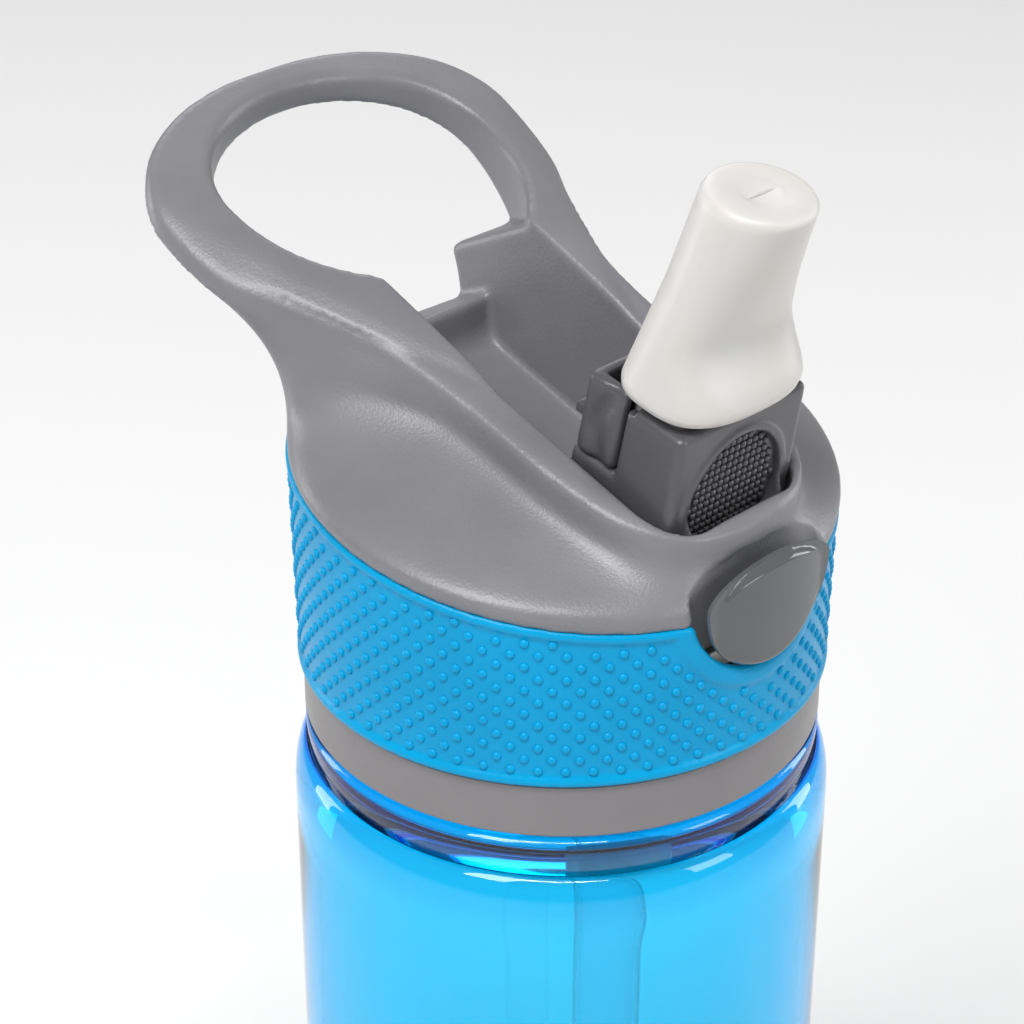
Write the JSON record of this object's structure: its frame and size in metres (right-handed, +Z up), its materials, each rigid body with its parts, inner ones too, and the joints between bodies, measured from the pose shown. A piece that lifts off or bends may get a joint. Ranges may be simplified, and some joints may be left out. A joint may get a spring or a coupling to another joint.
{
  "type": "sports bottle",
  "caption": "Clear sports bottle with a screw lid, a carry loop, a soft grip band and a push-button flip-up bite-valve spout with a straw.",
  "frame": {"origin": "centre of the base on the bottle's axis, at the level the bottle stands on", "axes": "+Z up along the bottle's axis, -Y towards the push button, +Y towards the carry loop"},
  "size_m": [0.074, 0.0977, 0.2751],
  "materials": {
    "clear_blue": "polished clear blue copolyester",
    "clear_straw": "clear polypropylene",
    "grey_shell": "fine moulded leather grain, satin",
    "grey_cap": "satin polypropylene",
    "dark_grey": "satin polypropylene",
    "button_gloss": "polished",
    "blue_band": "satin thermoplastic elastomer with raised dots",
    "milky_silicone": "translucent silicone",
    "white_silicone": "silicone",
    "natural_acetal": "natural acetal",
    "spring_steel": "drawn stainless wire"
  },
  "bodies": {
    "bottle": {"bottle_body": "clear_blue"},
    "seal": {"neck_seal": "white_silicone"},
    "lid": {"threaded_cap": "grey_cap", "lid_shell": "grey_shell", "grip_band": "blue_band", "hinge_pins": "spring_steel", "straw_adapter": "natural_acetal", "straw": "clear_straw", "vent_valve": "white_silicone", "spout_tube": "milky_silicone"},
    "button": {"push_button": "button_gloss", "latch_slide": "natural_acetal", "button_spring": "spring_steel"},
    "spout": {"spout_carrier": "dark_grey", "spout_retainer": "dark_grey", "mouthpiece": "milky_silicone", "torsion_spring": "spring_steel"}
  },
  "joints": [
    {"name": "lid_lift", "type": "slide", "parent": "bottle", "child": "seal", "axis": [0, 0, 1], "range_m": [0, 0.0056]},
    {"name": "lid_turn", "type": "hinge", "parent": "seal", "child": "lid", "pos_m": [0, 0, 0.19], "axis": [0, 0, 1], "range_deg": [0, 396]},
    {"name": "button_press", "type": "slide", "parent": "lid", "child": "button", "axis": [0, 1, 0], "range_m": [0, 0.0022], "stiffness_N_per_m": 400, "springref_m": -0.002, "deforming": ["button_spring"]},
    {"name": "spout_fold", "type": "hinge", "parent": "lid", "child": "spout", "pos_m": [0, -0.022, 0.227], "axis": [1, 0, 0], "range_deg": [-84, 0], "stiffness_Nm_per_rad": 0.008, "springref_deg": 34.38, "deforming": ["torsion_spring", "spout_tube"]}
  ],
  "couplings": [
    {"joint": "lid_lift", "follows": "lid_turn", "m_per_rad": 0.00079577}
  ]
}
